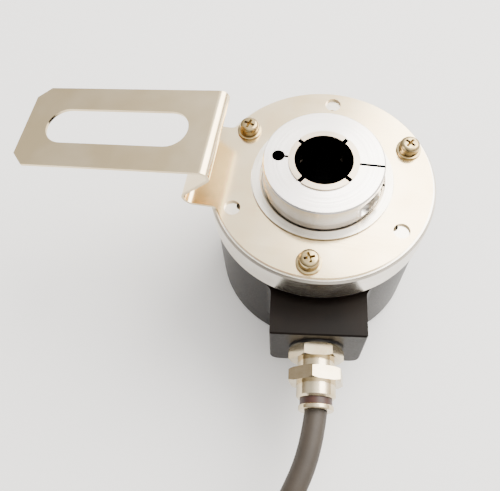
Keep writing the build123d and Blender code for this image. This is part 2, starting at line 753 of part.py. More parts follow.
def gland_locknut():
    nut = hexagon(locknut_af, box_depth - locknut_t, box_depth, 30)
    return along_gland(nut - rod(gland_thread_d / 2 + seat_gap, box_depth - locknut_t - 1,
                                 box_depth + 1))


# ---- cable ---------------------------------------------------------------------------------------
def cable_entry():
    return along_gland(rod(cable_r, cable_inner_end, gland_end))


# Insulated cores from the end of the jacket down to the board's header.
def inner_cores():
    cores = []
    for i in range(core_count):
        side = i - (core_count - 1) / 2
        mouth = header_inset - board_r
        plug_z = board_front + header_h / 2
        route = [(side * core_pitch, -cable_inner_end, gland_z),
                 (side * core_pitch, core_straight - cable_inner_end, gland_z),
                 (side * (core_pitch + header_pitch) / 2, mouth - core_dip[0], gland_z - core_dip[1]),
                 (side * header_pitch, mouth, plug_z),
                 (side * header_pitch, mouth + core_plug_l, plug_z)]
        points = [Vector(p) for p in route]
        path = FilletPolyline(*points, radius=list(core_bends))
        start = Plane(origin=points[0], z_dir=points[1] - points[0])
        cores.append(sweep(start * Circle(core_d / 2), path=path))
    return cores


# Outer shape of the coil: two turns side by side with a third turn lying between and on them.
def cable_coil():
    coil = ring(coil_out, coil_in, coil_floor, coil_mid_z)
    sector = coil_top_end - coil_top_start
    upper = Plane.XZ * Pos(coil_mid_r, coil_mid_z + cable_r) * Rectangle(cable_d, cable_d)
    turn = Rot(0, 0, coil_top_start) * revolve(upper, Axis.Z, sector)
    return Pos(coil_x, coil_y, 0) * (coil + turn)


def coil_ties():
    ties = []
    top = coil_mid_z + cable_d
    outside = tie_t + tie_clear
    for turn in tie_turns:
        loop = block(coil_in - outside, coil_out + outside, -tie_w / 2, tie_w / 2,
                     coil_floor - outside, top + outside)
        loop -= block(coil_in - tie_grip, coil_out + tie_grip, -tie_w, tie_w,
                      coil_floor - tie_clear, top + tie_clear)
        ties.append(Pos(coil_x, coil_y, 0) * Rot(0, 0, turn) * loop)
    return ties


# Shrink sleeve over the jacket's end, lying on the lower turns.
def end_sleeve():
    sleeve = rod(sleeve_d / 2, 0, sleeve_l)
    place = Pos(coil_x, coil_y, coil_mid_z + sleeve_d / 2) * Rot(0, 0, coil_top_end)
    return place * Pos(coil_mid_r, sleeve_shift, 0) * Rot(-90, 0, 0) * sleeve


def lead_route(index):
    side = (index - (core_count - 1) / 2) * core_pitch
    sleeve_turn = math.degrees((sleeve_l + lead_gap) / coil_mid_r)
    points = []
    for step, spread, height, wander in zip(lead_steps, lead_spread, lead_height,
                                            lead_wander[index]):
        turn = math.radians(coil_top_end + sleeve_turn + math.degrees(step / coil_mid_r))
        radius = coil_mid_r + lead_shift + side * spread + wander
        points.append((coil_x + radius * math.cos(turn), coil_y + radius * math.sin(turn),
                       coil_mid_z + height))
    return points


def lead_wires():
    return [bent_bar(lead_route(i), core_d, f"lead {i}") for i in range(core_count)]


# ---- all pieces --------------------------------------------------------------------------------
front_z = front_bearing_z
rear_z = rear_bearing_z
between_low, between_high = rear_z, front_z - bearing_w
shaft_clip_z = rear_z - bearing_w - clip_t

pieces = {
    "front_flange": front_flange,
    "stator_plate": stator_plate,
    "plate_screws": plate_screws,
    "plate_flat_washers": flat_washers,
    "plate_spring_washers": spring_washers,
    "front_seal": lambda: lip_seal(collar_pocket_floor - seal_w, collar_pocket_floor, seal_r),
    "rear_seal": lambda: lip_seal(housing_rear + seal_rear_inset, housing_rear + rear_wall, seal_r),
    "front_bearing_outer_race": lambda: outer_race(front_z),
    "rear_bearing_outer_race": lambda: outer_race(rear_z),
    "front_bearing_shields": lambda: bearing_shields(front_z),
    "rear_bearing_shields": lambda: bearing_shields(rear_z),
    "outer_spacer": lambda: ring(bearing_r - seat_gap, bearing_r - spacer_t,
                                 between_low, between_high),
    "wave_spring": wave_spring,
    "hub_retaining_ring": lambda: retaining_ring(
        bearing_r + clip_groove - clip_h, bearing_r + clip_groove - seat_gap,
        hub_clip_z - clip_t, True),
    "housing_o_ring": housing_o_ring,
    "housing": housing,
    "housing_screws": housing_screws,
    "front_standoffs": front_standoffs,
    "rear_standoffs": rear_standoffs,
    "main_board": main_board,
    "board_chips": board_chips,
    "wire_header": wire_header,
    "led_holder": led_holder,
    "led_emitter": led_emitter,
    "sensor_block": sensor_block,
    "reticle": reticle,
    "gland_locknut": gland_locknut,
    "gland_washer": gland_washer,
    "gland_body": gland_body,
    "gland_nut": gland_nut,
    "gland_seal": gland_seal,
    "gland_clamp_ring": gland_clamp_ring,
    "cable_entry": cable_entry,
    "inner_cores": inner_cores,
    "cable_lead": lambda: bent_bar(cable_route, cable_d, "cable lead"),
    "cable_coil": cable_coil,
    "coil_ties": coil_ties,
    "end_sleeve": end_sleeve,
    "lead_wires": lead_wires,
    "hollow_shaft": hollow_shaft,
    "clamp_collar": clamp_collar,
    "clamp_screw": clamp_screw,
    "front_bearing_inner_race": lambda: inner_race(front_z),
    "rear_bearing_inner_race": lambda: inner_race(rear_z),
    "inner_spacer": lambda: ring(journal_r + spacer_t, journal_r + seat_gap,
                                 between_low, between_high),
    "shaft_retaining_ring": lambda: retaining_ring(
        journal_r - clip_groove + seat_gap, journal_r - clip_groove + clip_h,
        shaft_clip_z, False),
    "disc_hub": disc_hub,
    "code_disc": code_disc,
    "front_bearing_balls": lambda: bearing_balls(front_z),
    "front_bearing_cage": lambda: bearing_cage(front_z),
    "rear_bearing_balls": lambda: bearing_balls(rear_z),
    "rear_bearing_cage": lambda: bearing_cage(rear_z),
}

os.makedirs("parts", exist_ok=True)
for name, make in pieces.items():
    write(name, make())
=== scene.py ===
# Hollow-shaft rotary encoder: finishes, fastenings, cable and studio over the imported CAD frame.
import bmesh
import bpy
import math
from mathutils import Matrix, Vector


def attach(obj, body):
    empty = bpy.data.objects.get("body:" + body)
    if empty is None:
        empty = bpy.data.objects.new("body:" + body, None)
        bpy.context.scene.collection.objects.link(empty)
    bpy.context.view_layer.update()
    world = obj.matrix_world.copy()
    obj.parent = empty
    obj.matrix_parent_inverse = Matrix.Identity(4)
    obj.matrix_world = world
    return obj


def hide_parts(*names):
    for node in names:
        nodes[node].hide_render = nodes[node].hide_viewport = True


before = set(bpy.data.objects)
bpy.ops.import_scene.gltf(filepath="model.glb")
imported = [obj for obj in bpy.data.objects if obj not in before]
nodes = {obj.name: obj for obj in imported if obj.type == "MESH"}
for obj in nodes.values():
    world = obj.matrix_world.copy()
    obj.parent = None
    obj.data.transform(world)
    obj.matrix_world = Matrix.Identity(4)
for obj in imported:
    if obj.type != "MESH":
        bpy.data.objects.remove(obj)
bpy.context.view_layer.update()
mm = 0.001
print("frame:", len(nodes), "CAD nodes")


# Where the camera stands, in metres and degrees, and its lens in millimetres.
cameraSizes = {"place": (-0.01171, -0.11672, 0.17579), "azimuth": 7.76, "elevation": 62.741,
               "roll": -5.158, "lens": 42.39, "sensor": 36.0}


def makeCamera():
    az, el, roll = (math.radians(cameraSizes[k]) for k in ("azimuth", "elevation", "roll"))
    back = Vector((math.sin(az) * math.cos(el), -math.cos(az) * math.cos(el), math.sin(el)))
    level = (-back).cross(Vector((0, 0, 1))).normalized()
    above = level.cross(-back)
    right = math.cos(roll) * level + math.sin(roll) * above
    up = math.cos(roll) * above - math.sin(roll) * level
    data = bpy.data.cameras.new("camera")
    data.lens, data.sensor_width, data.clip_start = cameraSizes["lens"], cameraSizes["sensor"], 0.005
    camera = bpy.data.objects.new("camera", data)
    facing = Matrix((right, up, back)).transposed().to_4x4()
    camera.matrix_world = Matrix.Translation(cameraSizes["place"]) @ facing
    bpy.context.collection.objects.link(camera)
    bpy.context.scene.camera = camera


makeCamera()
print("camera placed")


# An sRGB colour as the linear values that sockets take.
def linear(hexColour):
    parts = [int(hexColour[i:i + 2], 16) / 255 for i in (0, 2, 4)]
    return tuple(c / 12.92 if c <= 0.04045 else ((c + 0.055) / 1.055) ** 2.4 for c in parts) + (1.0,)


def addNode(tree, kind, values=None, links=None, **settings):
    node = tree.nodes.new(kind)
    for name, value in settings.items():
        setattr(node, name, value)
    for socket, value in (values or {}).items():
        node.inputs[socket].default_value = value
    for socket, source in (links or {}).items():
        tree.links.new(source, node.inputs[socket])
    return node


# A Math node's result; each side is a number or a socket.
def maths(tree, operation, first, second=None):
    given = {i: v for i, v in enumerate((first, second)) if v is not None}
    fixed = {i: v for i, v in given.items() if isinstance(v, (int, float))}
    linked = {i: v for i, v in given.items() if i not in fixed}
    return addNode(tree, "ShaderNodeMath", fixed, linked, operation=operation).outputs[0]


def smoothStep(x, low, high):
    t = min(max((x - low) / (high - low), 0.0), 1.0)
    return t * t * (3 - 2 * t)


# A new material: its shader, and the object's own coordinates to draw on.
def startMaterial(name, **values):
    material = bpy.data.materials.new(name)
    material.use_nodes = True
    tree = material.node_tree
    tree.nodes.clear()
    shader = addNode(tree, "ShaderNodeBsdfPrincipled", {k.replace("_", " "): v for k, v in values.items()})
    addNode(tree, "ShaderNodeOutputMaterial", links={"Surface": shader.outputs[0]})
    return material, tree, shader, addNode(tree, "ShaderNodeTexCoord").outputs["Object"]


# Cloudy pattern whose marks are about size millimetres, or three sizes along X, Y and Z.
def cloud(tree, place, size, detail=2.0, turn=0.0):
    sizes = size if isinstance(size, tuple) else (size,) * 3
    turned = addNode(tree, "ShaderNodeMapping", {"Rotation": (0, 0, math.radians(turn))}, {"Vector": place})
    scaled = addNode(tree, "ShaderNodeMapping", {"Scale": tuple(1 / (s * mm) for s in sizes)},
                     {"Vector": turned.outputs[0]})
    return addNode(tree, "ShaderNodeTexNoise", {"Scale": 1.0, "Detail": detail},
                   {"Vector": scaled.outputs[0]}).outputs[0]


# Distance from an axis and height along it, so that marks run round as a lathe leaves them.
def roundAxis(tree, place, middle=(0, 0, 0), tilt=0.0):
    moved = addNode(tree, "ShaderNodeMapping",
                    {"Location": tuple(-c * mm for c in middle)}, {"Vector": place})
    laid = addNode(tree, "ShaderNodeMapping", {"Rotation": (math.radians(tilt), 0, 0)},
                   {"Vector": moved.outputs[0]})
    parts = addNode(tree, "ShaderNodeSeparateXYZ", links={"Vector": laid.outputs[0]}).outputs
    flat = addNode(tree, "ShaderNodeCombineXYZ", links={"X": parts["X"], "Y": parts["Y"]})
    reach = addNode(tree, "ShaderNodeVectorMath", links={0: flat.outputs[0]}, operation="LENGTH")
    return addNode(tree, "ShaderNodeCombineXYZ",
                   links={"X": reach.outputs["Value"], "Y": parts["Z"]}).outputs[0]


# A pattern's values from start to end stretched to run from low to high.
def spread(tree, pattern, low, high, start=0.35, end=0.65, **settings):
    sockets = {"From Min": start, "From Max": end, "To Min": low, "To Max": high}
    return addNode(tree, "ShaderNodeMapRange", sockets, {"Value": pattern}, **settings).outputs[0]


def twoColours(tree, pattern, first, second):
    return addNode(tree, "ShaderNodeMix", {6: linear(first), 7: linear(second)}, {0: pattern},
                   data_type="RGBA").outputs[2]


# A colour painted over another where the mask is 1.
def paintOver(tree, mask, colour, hexColour):
    return addNode(tree, "ShaderNodeMix", {7: linear(hexColour)}, {0: mask, 6: colour},
                   data_type="RGBA").outputs[2]


# Bumps as high as height millimetres.
def emboss(tree, shader, pattern, height):
    bump = addNode(tree, "ShaderNodeBump", {"Distance": height * mm}, {"Height": pattern})
    tree.links.new(bump.outputs[0], shader.inputs["Normal"])


# Rolled stainless sheet, polished: warm, nearly mirror-smooth, with faint straight rolling marks.
def rolledSheet():
    made, tree, shader, place = startMaterial("stainless sheet, rolled and polished", Metallic=1.0)
    marks = cloud(tree, place, (30, 0.5, 0.5), 3.0, -172.7)
    patches = cloud(tree, place, 16, 2.0)
    colour = twoColours(tree, spread(tree, patches, 0, 1), "E2CDA4", "ECDAB6")
    tree.links.new(colour, shader.inputs["Base Color"])
    tree.links.new(spread(tree, marks, 0.15, 0.21), shader.inputs["Roughness"])
    emboss(tree, shader, marks, 0.0015)
    return made


# 1 on walls that don't face outwards from the Z axis, such as a bore's and a slot's, otherwise 0: the mask
# for painted shade.
def innerWalls(tree, place):
    facing = addNode(tree, "ShaderNodeTexCoord").outputs["Normal"]
    flat = addNode(tree, "ShaderNodeVectorMath", {1: (1, 1, 0)}, {0: place}, operation="MULTIPLY")
    unit = addNode(tree, "ShaderNodeVectorMath", links={0: flat.outputs[0]}, operation="NORMALIZE")
    outwards = addNode(tree, "ShaderNodeVectorMath", links={0: unit.outputs[0], 1: facing},
                       operation="DOT_PRODUCT").outputs["Value"]
    upright = addNode(tree, "ShaderNodeSeparateXYZ", links={"Vector": facing}).outputs["Z"]
    most = maths(tree, "MAXIMUM", outwards, maths(tree, "ABSOLUTE", upright))
    return maths(tree, "LESS_THAN", most, 0.5)


# Turned bars and plates: fine rings about the axis, which smear a reflection across them. Feed
# marks are drawn at 0.4 mm so that they show. On a bar with a bore, the inner walls get painted shade,
# near-black.
def turnedMetal(name, light, dark, rough, marks=0.002, middle=(0, 0, 0), tilt=0.0, feed=0.4, paintBoreShade=False):
    made, tree, shader, place = startMaterial(name, Metallic=1.0, Anisotropic=0.6,
                                              Anisotropic_Rotation=0.25)
    coordinates = roundAxis(tree, place, middle, tilt)
    rings = cloud(tree, coordinates, feed, 3.0)
    patches = cloud(tree, place, 9, 3.0)
    colour = twoColours(tree, spread(tree, patches, 0, 1), dark, light)
    if paintBoreShade:
        # Painted shade: the inner walls of the bore, slots and slit are coloured near-black where shade
        # falls.
        colour = paintOver(tree, innerWalls(tree, place), colour, "14110F")
    tree.links.new(colour, shader.inputs["Base Color"])
    tree.links.new(spread(tree, rings, rough - 0.04, rough + 0.05), shader.inputs["Roughness"])
    emboss(tree, shader, rings, marks)
    along = addNode(tree, "ShaderNodeTangent", direction_type="RADIAL", axis="Y" if tilt else "Z")
    tree.links.new(along.outputs[0], shader.inputs["Tangent"])
    return made


# Plated, moulded or ground surfaces without a direction: soft patches and a fine grain.
def evenSurface(name, light, dark, rough, grain, depth, metal=0.0, patch=8.0, **values):
    made, tree, shader, place = startMaterial(name, Metallic=metal, **values)
    patches = cloud(tree, place, patch, 4.0)
    fine = cloud(tree, place, grain, 2.0)
    tree.links.new(twoColours(tree, spread(tree, patches, 0, 1), dark, light), shader.inputs["Base Color"])
    tree.links.new(spread(tree, fine, rough - 0.04, rough + 0.05), shader.inputs["Roughness"])
    emboss(tree, shader, fine, depth)
    return made


sheetSteel = rolledSheet()
flangeAluminium = turnedMetal("aluminium, turned and clear anodised", "EFE9DE", "E4DCCD", 0.22, 0.0002)
collarAluminium = turnedMetal("aluminium, fine turned", "FAF6F2", "F3EDE7", 0.22, 0.001, paintBoreShade=True)
shaftSteel = turnedMetal("stainless bar, ground", "DCCDB8", "D0C0A8", 0.22, 0.001, feed=0.5, paintBoreShade=True)
innerAluminium = turnedMetal("aluminium, turned", "E2E0DA", "D6D3CC", 0.3)
glandNickel = turnedMetal("brass, turned and nickel plated", "DBCDB0", "C6B592", 0.15, 0.0004,
                          (0, 0, -29.5), -90, 0.5)
screwNickel = evenSurface("steel, cold headed and nickel plated", "B9A67C", "9C8862", 0.15, 0.5, 0.002, 1.0,
                          2.5)
postNickel = evenSurface("brass hexagon bar, nickel plated", "D6CFBF", "C9C0AC", 0.26, 0.6, 0.003, 1.0, 3.0)
bearingSteel = turnedMetal("bearing steel, ground", "D9D8D4", "CFCDC8", 0.14, 0.0006)
springSteel = evenSurface("spring steel, phosphated", "5A5753", "48453F", 0.42, 0.3, 0.004, 1.0, 3.0)
zincSteel = evenSurface("steel, bright zinc plated", "DAD6CE", "C6C2BA", 0.2, 0.4, 0.002, 1.0, 2.0)
cageBrass = evenSurface("brass, pressed", "D9B36A", "C79F58", 0.3, 0.5, 0.004, 1.0, 2.0)
housingPlastic = evenSurface("polyamide, moulded, satin", "17100B", "0F0A07", 0.36, 0.4, 0.004, 0.0, 12.0,
                             Specular_IOR_Level=0.12)
chipPlastic = evenSurface("epoxy, moulded", "262628", "1E1E20", 0.5, 0.2, 0.01, 0.0, 2.0)
headerNylon = evenSurface("nylon, moulded", "E9E4D6", "DFD9C8", 0.42, 0.4, 0.008, 0.0, 3.0)
sealNitrile = evenSurface("nitrile rubber, moulded", "1F1E1D", "171615", 0.55, 0.3, 0.012, 0.0, 4.0)
glandRubber = evenSurface("chloroprene rubber, moulded", "43251B", "331B14", 0.42, 0.4, 0.008, 0.0, 3.0)
jacketVinyl = evenSurface("PVC jacket, extruded", "3E362D", "342D26", 0.55, 0.5, 0.008, 0.0, 14.0)
sleeveFilm = evenSurface("polyolefin tube, shrunk", "242322", "1B1A19", 0.38, 0.8, 0.02, 0.0, 3.0)


# Solder mask over copper: shiny green, tracks stand up as lighter lines 0.4 mm wide.
def boardMask():
    made, tree, shader, place = startMaterial("glass-epoxy board, solder mask", Roughness=0.28)
    trackPattern = 9 * mm
    flat = addNode(tree, "ShaderNodeMapping", {"Scale": (1 / trackPattern,) * 3}, {"Vector": place})
    tracks = addNode(tree, "ShaderNodeTexBrick", {"Scale": 1.0, "Mortar Size": 0.045, "Mortar Smooth": 0.1,
                     "Brick Width": 0.9, "Row Height": 0.22}, {"Vector": flat.outputs[0]}).outputs["Fac"]
    tree.links.new(twoColours(tree, tracks, "0F5132", "2C7A4B"), shader.inputs["Base Color"])
    emboss(tree, shader, tracks, 0.03)
    return made


# Clear glass or resin: light goes through, with a faint tint.
def clearGlass(name, tint, rough):
    made, tree, shader, place = startMaterial(name, Base_Color=linear(tint), IOR=1.52,
                                              Transmission_Weight=0.9)
    tree.links.new(spread(tree, cloud(tree, place, 3.0), rough, rough + 0.04), shader.inputs["Roughness"])
    return made


# Hook-and-loop tape: matt, woven every 0.6 mm.
def loopTape():
    made, tree, shader, place = startMaterial("polyamide hook and loop tape, woven", Roughness=0.85,
                                              Sheen_Weight=0.3)
    threadPitch = 0.6 * mm
    thread = addNode(tree, "ShaderNodeMapping", {"Scale": (1 / threadPitch,) * 3}, {"Vector": place})
    cells = addNode(tree, "ShaderNodeTexVoronoi", {"Scale": 1.0}, {"Vector": thread.outputs[0]})
    weave = cells.outputs["Distance"]
    tree.links.new(twoColours(tree, weave, "1B1B1D", "34343A"), shader.inputs["Base Color"])
    emboss(tree, shader, weave, 0.12)
    return made


# Insulation of the five cores: the colour changes from core to core across the cable box.
coreColours = ("F1EEE6", "6A4327", "2F7D43", "E3BE2B", "8A8C8E")


def coreInsulation(colour):
    return evenSurface("PVC core, extruded " + colour, colour, colour, 0.35, 0.4, 0.004)


def coreRow():
    made, tree, shader, place = startMaterial("PVC cores, extruded, in a row", Roughness=0.35)
    across = addNode(tree, "ShaderNodeSeparateXYZ", links={"Vector": place}).outputs["X"]
    pitch, middle = 1.7 * mm, len(coreColours) / 2
    edges = [maths(tree, "GREATER_THAN", across, (i - middle) * pitch) for i in range(1, len(coreColours))]
    colour = twoColours(tree, edges[0], *coreColours[:2])
    for edge, hexColour in zip(edges[1:], coreColours[2:]):
        colour = paintOver(tree, edge, colour, hexColour)
    tree.links.new(colour, shader.inputs["Base Color"])
    emboss(tree, shader, cloud(tree, place, 0.5), 0.005)
    return made


boardGreen = boardMask()
discGlass = clearGlass("soda-lime glass, polished", "E8F2EE", 0.02)
lampResin = clearGlass("clear epoxy, cast", "E6ECF5", 0.06)
tapeFabric = loopTape()
coreRowVinyl = coreRow()
trackChrome = evenSurface("chromium, sputtered", "8E9092", "858789", 0.12, 0.5, 0.001, 1.0, 3.0)
tinnedCopper = evenSurface("copper strand, tinned", "D3D1CB", "BEBBB3", 0.3, 0.3, 0.006, 1.0, 1.0)
print("materials:", len(bpy.data.materials))

cadFinish = {
    sheetSteel: ("stator_plate",),
    flangeAluminium: ("front_flange",),
    collarAluminium: ("clamp_collar",),
    shaftSteel: ("hollow_shaft",),
    innerAluminium: ("outer_spacer", "inner_spacer", "disc_hub"),
    glandNickel: ("gland_body", "gland_nut", "gland_clamp_ring", "gland_locknut"),
    postNickel: ("front_standoffs", "rear_standoffs"),
    bearingSteel: ("front_bearing_outer_race", "rear_bearing_outer_race", "front_bearing_inner_race",
                   "rear_bearing_inner_race", "front_bearing_balls", "rear_bearing_balls",
                   "front_bearing_shields", "rear_bearing_shields"),
    springSteel: ("wave_spring", "hub_retaining_ring", "shaft_retaining_ring"),
    cageBrass: ("front_bearing_cage", "rear_bearing_cage"),
    housingPlastic: ("housing",),
    chipPlastic: ("led_holder", "sensor_block"),
    headerNylon: ("wire_header",),
    sealNitrile: ("front_seal", "rear_seal", "housing_o_ring", "gland_washer"),
    glandRubber: ("gland_seal",),
    jacketVinyl: ("cable_entry",),
    boardGreen: ("main_board",),
    discGlass: ("code_disc", "reticle"),
    lampResin: ("led_emitter",),
    coreRowVinyl: ("inner_cores",),
}
for material, names in cadFinish.items():
    for name in names:
        for place in nodes[name].material_slots:
            place.material = material
print("CAD nodes finished:", sum(len(names) for names in cadFinish.values()))


# A bmesh as a shown object, smooth except where faces meet at more than crease degrees.
def makeObject(name, shape, material, crease=35.0):
    bmesh.ops.recalc_face_normals(shape, faces=shape.faces)
    data = bpy.data.meshes.new(name)
    shape.to_mesh(data)
    shape.free()
    data.materials.append(material)
    data.shade_smooth()
    data.set_sharp_from_angle(angle=math.radians(crease))
    made = bpy.data.objects.new(name, data)
    bpy.context.collection.objects.link(made)
    return made


# The evaluated object as a plain mesh under the same name; helpers used to make it are removed.
def plainMesh(source, *helpers):
    bpy.context.view_layer.update()
    data = bpy.data.meshes.new_from_object(source.evaluated_get(bpy.context.evaluated_depsgraph_get()))
    name = source.name
    for gone in (source, *helpers):
        bpy.data.objects.remove(gone)
    data.name = name
    made = bpy.data.objects.new(name, data)
    bpy.context.collection.objects.link(made)
    return made


def settle(piece, body, slotName, *replaced):
    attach(piece, body)
    if replaced:
        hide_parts(*replaced)
    return piece


# Rows of points joined into a skin; each row closes on itself, the ends are capped where asked.
def skin(shape, rows, capped=True, looped=False):
    made = [[shape.verts.new(p) for p in row] for row in rows]
    pairs = list(zip(made, made[1:])) + ([(made[-1], made[0])] if looped else [])
    for first, second in pairs:
        for i in range(len(first)):
            j = (i + 1) % len(first)
            shape.faces.new((first[i], first[j], second[j], second[i]))
    if capped and not looped:
        shape.faces.new(list(reversed(made[0])))
        shape.faces.new(made[-1])
    return shape


# A point on the axis stands this far off it, and a shank runs this far into its head, in mm.
centre, overlap = 0.001, 0.1


# An outline of (radius, height) points turned about Z; a closed outline makes a ring.
def turned(shape, outline, steps, closed=True, wave=0.0, waves=0):
    rows = []
    for step in range(steps):
        angle = 2 * math.pi * step / steps
        extra = wave * math.cos(waves * angle)
        rows.append([((r + extra) * mm * math.cos(angle), (r + extra) * mm * math.sin(angle), z * mm)
                     for r, z in outline])
    if closed:
        return skin(shape, rows, looped=True)
    rings = [[row[k] for row in rows] for k in range(len(outline))]
    return skin(shape, rings)


# A rod with a helical thread: the radius follows a triangle wave that climbs one pitch a turn.
def threaded(shape, radius, pitch, depth, low, high, steps=28):
    ringsEachPitch = 5
    rows, count = [], round((high - low) / pitch * ringsEachPitch)
    for k in range(count + 1):
        z = low + (high - low) * k / count
        fade = min(smoothStep(z, low, low + pitch), 1 - smoothStep(z, high - pitch, high))
        row = []
        for step in range(steps):
            share = (z / pitch - step / steps) % 1.0
            r = radius - depth + depth * fade * (1 - abs(2 * share - 1))
            angle = 2 * math.pi * step / steps
            row.append((r * mm * math.cos(angle), r * mm * math.sin(angle), z * mm))
        rows.append(row)
    return skin(shape, rows)


# One cutter taken from a piece, and the result made plain.
def cutWith(piece, cutter):
    cut = piece.modifiers.new("cut", "BOOLEAN")
    cut.operation, cut.solver, cut.object = "DIFFERENCE", "EXACT", cutter
    made = plainMesh(piece, cutter)
    made.data.set_sharp_from_angle(angle=math.radians(35))
    return made


# A geometry tree with named inputs, each given as name, socket kind and value.
def treeWith(name, inputs):
    tree = bpy.data.node_groups.new(name, "GeometryNodeTree")
    for label, kind, value in inputs:
        socket = tree.interface.new_socket(label, in_out="INPUT", socket_type=kind)
        if value is not None:
            socket.default_value = value
    tree.interface.new_socket("Result", in_out="OUTPUT", socket_type="NodeSocketGeometry")
    return tree, addNode(tree, "NodeGroupInput").outputs


def endTree(tree, geometry, finish):
    real = addNode(tree, "GeometryNodeRealizeInstances", links={0: geometry})
    painted = addNode(tree, "GeometryNodeSetMaterial",
                      links={"Geometry": real.outputs[0], "Material": finish})
    addNode(tree, "NodeGroupOutput", links={0: painted.outputs[0]})


# Copies of a piece on a circle about the shaft axis, each turned with its place and a little by itself.
def circleTree():
    tree, given = treeWith("copies on a circle", (
        ("Piece", "NodeSocketGeometry", None), ("Count", "NodeSocketInt", 3),
        ("Radius", "NodeSocketFloat", 0.03), ("First turn", "NodeSocketFloat", 0.0),
        ("Own turn", "NodeSocketFloat", 0.0), ("Seed", "NodeSocketInt", 4),
        ("Finish", "NodeSocketMaterial", None)))
    ring = addNode(tree, "GeometryNodeMeshCircle",
                   links={"Vertices": given["Count"], "Radius": given["Radius"]})
    start = addNode(tree, "ShaderNodeCombineXYZ", links={"Z": given["First turn"]})
    started = addNode(tree, "GeometryNodeTransform",
                      links={"Geometry": ring.outputs[0], "Rotation": start.outputs[0]})
    index = addNode(tree, "GeometryNodeInputIndex")
    step = maths(tree, "DIVIDE", 2 * math.pi, given["Count"])
    along = maths(tree, "ADD", maths(tree, "MULTIPLY", index.outputs[0], step), given["First turn"])
    chance = addNode(tree, "FunctionNodeRandomValue", {2: -1.0, 3: 1.0}, {"Seed": given["Seed"]},
                     data_type="FLOAT").outputs[1]
    own = maths(tree, "ADD", maths(tree, "MULTIPLY", chance, given["Own turn"]), along)
    turn = addNode(tree, "ShaderNodeCombineXYZ", links={"Z": own})
    copies = addNode(tree, "GeometryNodeInstanceOnPoints", links={
        "Points": started.outputs[0], "Instance": given["Piece"], "Rotation": turn.outputs[0]})
    endTree(tree, copies.outputs[0], given["Finish"])
    return tree


# Copies of a piece on the points of a guide mesh, each turned by the guide's stored angle.
def pointTree():
    tree, given = treeWith("copies on points", (
        ("Piece", "NodeSocketGeometry", None), ("Guide", "NodeSocketObject", None),
        ("Finish", "NodeSocketMaterial", None)))
    guide = addNode(tree, "GeometryNodeObjectInfo", links={"Object": given["Guide"]})
    stored = addNode(tree, "GeometryNodeInputNamedAttribute", {"Name": "turn"}, data_type="FLOAT")
    turn = addNode(tree, "ShaderNodeCombineXYZ", links={"Z": stored.outputs[0]})
    copies = addNode(tree, "GeometryNodeInstanceOnPoints", links={
        "Points": guide.outputs["Geometry"], "Instance": given["Piece"], "Rotation": turn.outputs[0]})
    endTree(tree, copies.outputs[0], given["Finish"])
    return tree


circleCopies = circleTree()
pointCopies = pointTree()


def runTree(piece, tree, values, *helpers):
    change = piece.modifiers.new("copies", "NODES")
    change.node_group = tree
    for socket in tree.interface.items_tree:
        if socket.in_out == "INPUT" and socket.name in values:
            change[socket.identifier] = values[socket.name]
    made = plainMesh(piece, *helpers)
    made.data.set_sharp_from_angle(angle=math.radians(35))
    return made


def guidePoints(places):
    data = bpy.data.meshes.new("guide")
    data.from_pydata([(x * mm, y * mm, z * mm) for x, y, z, _ in places], [], [])
    stored = data.attributes.new("turn", "FLOAT", "POINT")
    for i, place in enumerate(places):
        stored.data[i].value = math.radians(place[3])
    guide = bpy.data.objects.new("guide", data)
    bpy.context.collection.objects.link(guide)
    return guide


# The cable: its route from the gland, then a coil of three turns. The angles are where the outer
# turn gives way to the inner one, where the upper turn climbs and settles, and where it sags.
cableSizes = {"diameter": 7.8, "coilX": 20.4, "coilY": -167.6, "coilRadius": 46.8, "turnStep": 4.0,
              "lowerHeight": -54.1, "upperHeight": -46.3, "pointsEachTurn": 24, "firstTurn": 180,
              "lastTurn": 1110, "inwards": (500, 540), "climb": (815, 850), "climbTo": 59,
              "settle": (845, 860), "sag": 0.7, "sagFrom": (930, 980), "sagTo": (1050, 1100)}
cableRoute = [(0.0, -74.6, -29.5), (-1.5, -87.5, -29.5), (-8.7, -104.0, -30.8), (-17.9, -120.0, -38.3),
              (-25.5, -134.8, -48.9), (-30.2, -153.6, -53.2), (-30.4, -167.6, -54.1)]


# Where the cable's middle lies in the coil at an angle: outer turn, inner turn, then the upper one.
def coilPlace(angle):
    c = cableSizes
    outer, inner = c["coilRadius"] + c["turnStep"], c["coilRadius"] - c["turnStep"]
    radius = outer - (outer - inner) * smoothStep(angle, *c["inwards"])
    height = c["lowerHeight"]
    if angle > c["climb"][0]:
        climb = math.radians(180 - c["climbTo"] * smoothStep(angle, *c["climb"]))
        radius = outer + c["diameter"] * math.cos(climb)
        height += c["diameter"] * math.sin(climb)
        radius += (c["coilRadius"] - radius) * smoothStep(angle, *c["settle"])
        height += (c["upperHeight"] - height) * smoothStep(angle, *c["settle"])
        height -= c["sag"] * smoothStep(angle, *c["sagFrom"]) * (1 - smoothStep(angle, *c["sagTo"]))
    return radius, height


def coilPoint(angle, radius, height):
    turn = math.radians(angle)
    c = cableSizes
    return (c["coilX"] + radius * math.cos(turn), c["coilY"] + radius * math.sin(turn), height)


# An open spline through the points. Its radius is on its points, because a curve's box counts it there.
def cableCurve(name, points, diameter, material):
    data = bpy.data.curves.new(name, "CURVE")
    data.dimensions = "3D"
    data.bevel_depth = 1.0
    data.bevel_resolution = 6
    data.use_fill_caps = True
    data.resolution_u = 6
    line = data.splines.new("NURBS")
    line.points.add(len(points) - 1)
    for point, place in zip(line.points, points):
        point.co = (*(c * mm for c in place), 1.0)
        point.radius = diameter / 2 * mm
    line.order_u = 3
    line.use_endpoint_u = True
    data.materials.append(material)
    made = bpy.data.objects.new(name, data)
    bpy.context.collection.objects.link(made)
    return made


